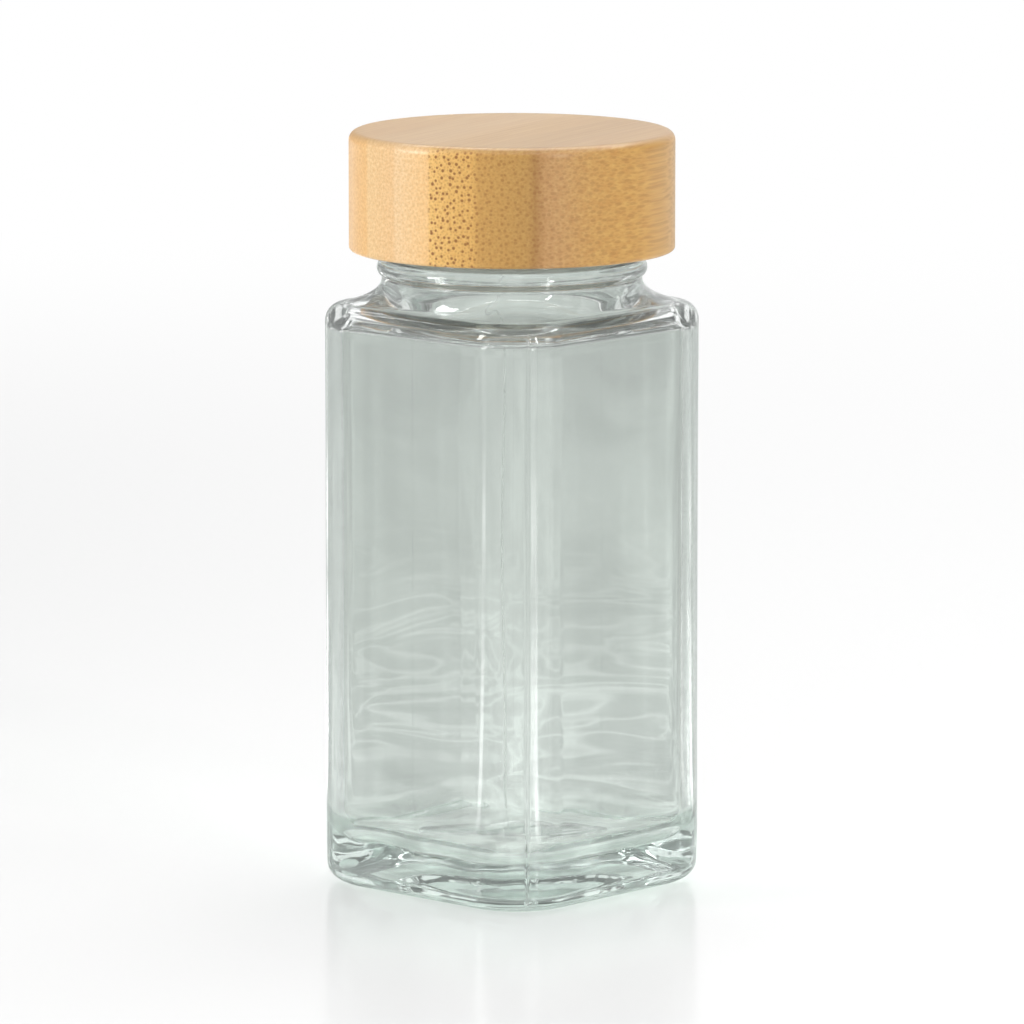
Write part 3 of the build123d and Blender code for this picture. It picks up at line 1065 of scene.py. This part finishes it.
def floorThroughGlass(tree, place, distance, azimuth):
    # What the glass shows of the floor: a grey-green ground, paler near by, that is uneven in three ways
    ground = addNode(tree, "ShaderNodeValToRGB", {"stops": studio["throughTones"]}, {0: distance})
    # bright wavy lines close by, as thick glass throws on a table
    ripples = addNode(tree, "ShaderNodeTexNoise", {}, {
        "Vector": place, "Scale": 21.0, "Detail": 2.0, "Distortion": 1.5,
    })
    rippleTone = addNode(tree, "ShaderNodeValToRGB", {
        "stops": [(0.30, 0.88), (0.43, 0.99), (0.485, 1.38), (0.54, 1.02), (0.70, 0.90)],
    }, {0: ripples})
    near = addNode(tree, "ShaderNodeValToRGB", {
        "stops": [(0.04, 1.1), (0.10, 0.9), (0.16, 0.8), (0.34, 0.08)],
    }, {0: distance})
    rippled = addNode(tree, "ShaderNodeMix", {"data_type": "RGBA", "clamp_factor": False}, {
        0: near, 6: (1, 1, 1, 1), 7: rippleTone,
    })
    # eight darker sectors, which the glass only shows in its bends
    middle = 90 + studio["cameraAzimuth"]
    sectors = repeatedRound(tree, azimuth, 8, middle, (-0.5, 0.4), (studio["sectorShade"], 1.0))
    # soft shades that run away from the object, which show upright through its flat sides
    outward = addNode(tree, "ShaderNodeVectorMath", {"operation": "NORMALIZE"}, {0: place})
    drift = addNode(tree, "ShaderNodeCombineXYZ", {}, {"Z": distance})
    outward = combined(tree, "ShaderNodeVectorMath", "ADD", outward, drift)
    shade = addNode(tree, "ShaderNodeTexNoise", {}, {"Vector": outward, "Scale": 9.0, "Detail": 1.5})
    shade = addNode(tree, "ShaderNodeMapRange", {"interpolation_type": "SMOOTHSTEP"}, {
        "Value": shade, "From Min": 0.36, "From Max": 0.64, "To Min": 0.90, "To Max": 1.08,
    })
    return combined(tree, "ShaderNodeVectorMath", "MULTIPLY", ground, rippled.outputs[2], sectors, shade)


def floorMaterial():
    # Smooth white laminate: a faint reflection close by and plain white further off
    material, tree = startMaterial("white laminate")
    place = addNode(tree, "ShaderNodeTexCoord").outputs["Object"]
    distance = addNode(tree, "ShaderNodeVectorMath", {"operation": "LENGTH"}, {0: place}).outputs["Value"]
    azimuth = azimuthAndHeight(tree, place)[0]
    path = addNode(tree, "ShaderNodeLightPath").outputs
    camera, glossy, through = (path["Is %s Ray" % kind] for kind in ("Camera", "Glossy", "Transmission"))
    # plain white only where it is looked at, so that it doesn't light the object
    seen = combined(tree, "ShaderNodeMath", "MAXIMUM", camera, glossy, through)
    fade = addNode(tree, "ShaderNodeMapRange", {"interpolation_type": "SMOOTHSTEP"}, {
        "Value": distance, "From Min": studio["fadeStart"], "From Max": studio["fadeEnd"],
    })
    plain = combined(tree, "ShaderNodeMath", "MULTIPLY", through, studio["throughPlain"])
    plain = combined(tree, "ShaderNodeMath", "MAXIMUM", fade, plain)
    plain = combined(tree, "ShaderNodeMath", "MULTIPLY", plain, seen)
    reflected = addNode(tree, "ShaderNodeMix", {"data_type": "RGBA"}, {
        0: glossy, 6: (1, 1, 1, 1), 7: fromHex(studio["reflectedFloor"]),
    })
    tone = addNode(tree, "ShaderNodeMix", {"data_type": "RGBA"}, {
        0: through, 6: reflected.outputs[2], 7: floorThroughGlass(tree, place, distance, azimuth),
    })
    litTone = addNode(tree, "ShaderNodeMix", {"data_type": "RGBA", "blend_type": "MULTIPLY"}, {
        0: 1.0, 6: fromHex(studio["laminate"]), 7: tone.outputs[2],
    })
    lit = addNode(tree, "ShaderNodeBsdfPrincipled", {}, {
        "Base Color": litTone.outputs[2], "Roughness": 0.16, "Specular IOR Level": 0.35,
    })
    white = addNode(tree, "ShaderNodeEmission", {}, {"Color": tone.outputs[2], "Strength": 1.0})
    surface = addNode(tree, "ShaderNodeMixShader", {}, {0: plain, 1: lit, 2: white})
    # narrow bright panels round the object, which only show as highlights along its glass corners
    tones = (0.0, studio["stripStrength"])
    strips = repeatedRound(tree, azimuth, 4, studio["stripAngle"], (0.94, 1.0), tones)
    lengthwise = addNode(tree, "ShaderNodeValToRGB", {
        "stops": [(0.07, 0), (0.1, 0.9), (0.2, 0.7), (0.28, 0.15), (0.36, 0.6), (0.45, 0.1)],
    }, {0: distance})
    mirrored = mostlyMirrored(tree, path, studio["stripThroughGlass"])
    shine = combined(tree, "ShaderNodeMath", "MULTIPLY", strips, mirrored, lengthwise)
    panels = addNode(tree, "ShaderNodeEmission", {}, {"Color": (1, 1, 1, 1), "Strength": shine})
    whole = addNode(tree, "ShaderNodeAddShader", {}, {0: surface, 1: panels})
    addNode(tree, "ShaderNodeOutputMaterial", {}, {"Surface": whole})
    return material


def makeFloor():
    outline = ringOf(studio["floorRadius"], 96)
    mesh = bpy.data.meshes.new("studio_floor")
    mesh.from_pydata(outline, [], [tuple(range(len(outline)))])
    mesh.materials.append(floorMaterial())
    floor = addObject("studio_floor", mesh)


def makeWorld():
    # A pale room with bright panels and darker gaps round it, which glass needs to show its edges
    world = bpy.data.worlds.new("studio")
    bpy.context.scene.world = world
    world.use_nodes = True
    tree = world.node_tree
    tree.nodes.clear()
    way = addNode(tree, "ShaderNodeTexCoord").outputs["Generated"]
    azimuth, up = azimuthAndHeight(tree, way)
    path = addNode(tree, "ShaderNodeLightPath").outputs
    panels = repeatedRound(tree, azimuth, 4, 22.5, (-0.5, 0.5), studio["roomTones"])
    overhead = addNode(tree, "ShaderNodeMapRange", {"interpolation_type": "SMOOTHSTEP"}, {
        "Value": up, "From Min": 0.55, "From Max": 0.8,
    })
    tone = addNode(tree, "ShaderNodeMix", {}, {0: overhead, 2: panels, 3: studio["ceilingTone"]})
    # through the glass the gaps are darker and closer together
    gaps = addNode(tree, "ShaderNodeTexNoise", {}, {"Vector": way, "Scale": 4.5, "Detail": 1.5})
    gaps = addNode(tree, "ShaderNodeMapRange", {"interpolation_type": "SMOOTHSTEP"}, {
        "Value": gaps,
        "From Min": 0.45,
        "From Max": 0.55,
        "To Min": studio["gapTones"][0],
        "To Max": studio["gapTones"][1],
    })
    tone = addNode(tree, "ShaderNodeMix", {}, {0: path["Is Transmission Ray"], 2: tone, 3: gaps})
    # a thin bright band part of the way up, broken by the gaps, which edges the shoulder and the neck
    level = combined(tree, "ShaderNodeMath", "SUBTRACT", up, studio["bandHeight"])
    level = addNode(tree, "ShaderNodeMath", {"operation": "ABSOLUTE"}, {0: level})
    band = addNode(tree, "ShaderNodeMapRange", {"interpolation_type": "SMOOTHSTEP"}, {
        "Value": level,
        "From Min": 0.015,
        "From Max": 0.045,
        "To Min": studio["bandStrength"],
        "To Max": 0.0,
    })
    mirrored = mostlyMirrored(tree, path, studio["bandThroughGlass"])
    band = combined(tree, "ShaderNodeMath", "MULTIPLY", band, mirrored, gaps)
    tone = combined(tree, "ShaderNodeMath", "ADD", tone, band)
    shown = addNode(tree, "ShaderNodeMix", {}, {0: path["Is Camera Ray"], 2: tone, 3: 1.0})
    light = addNode(tree, "ShaderNodeBackground", {}, {"Color": (1, 1, 1, 1), "Strength": shown})
    addNode(tree, "ShaderNodeOutputWorld", {}, {"Surface": light})


def addLamp(name, turn, distance, height, width, length, power, aimHeight):
    lamp = bpy.data.lights.new(name, "AREA")
    lamp.shape = "RECTANGLE"
    lamp.size = width
    lamp.size_y = length
    lamp.energy = power
    standAndAim(addObject(name, lamp), studio["cameraAzimuth"] + turn, distance, height, aimHeight)


def makeCamera():
    lens = bpy.data.cameras.new("camera")
    lens.lens = studio["lens"]
    lens.sensor_width = studio["sensor"]
    lens.clip_end = studio["farthest"]
    camera = addObject("camera", lens)
    distance, height = studio["cameraDistance"], studio["cameraHeight"]
    standAndAim(camera, studio["cameraAzimuth"], distance, height, studio["aimHeight"])
    bpy.context.scene.camera = camera


makeFloor()
makeWorld()
for lamp in studio["lamps"]:
    addLamp(*lamp)
makeCamera()
bpy.context.scene.view_settings.view_transform = "Standard"
print("studio set up")
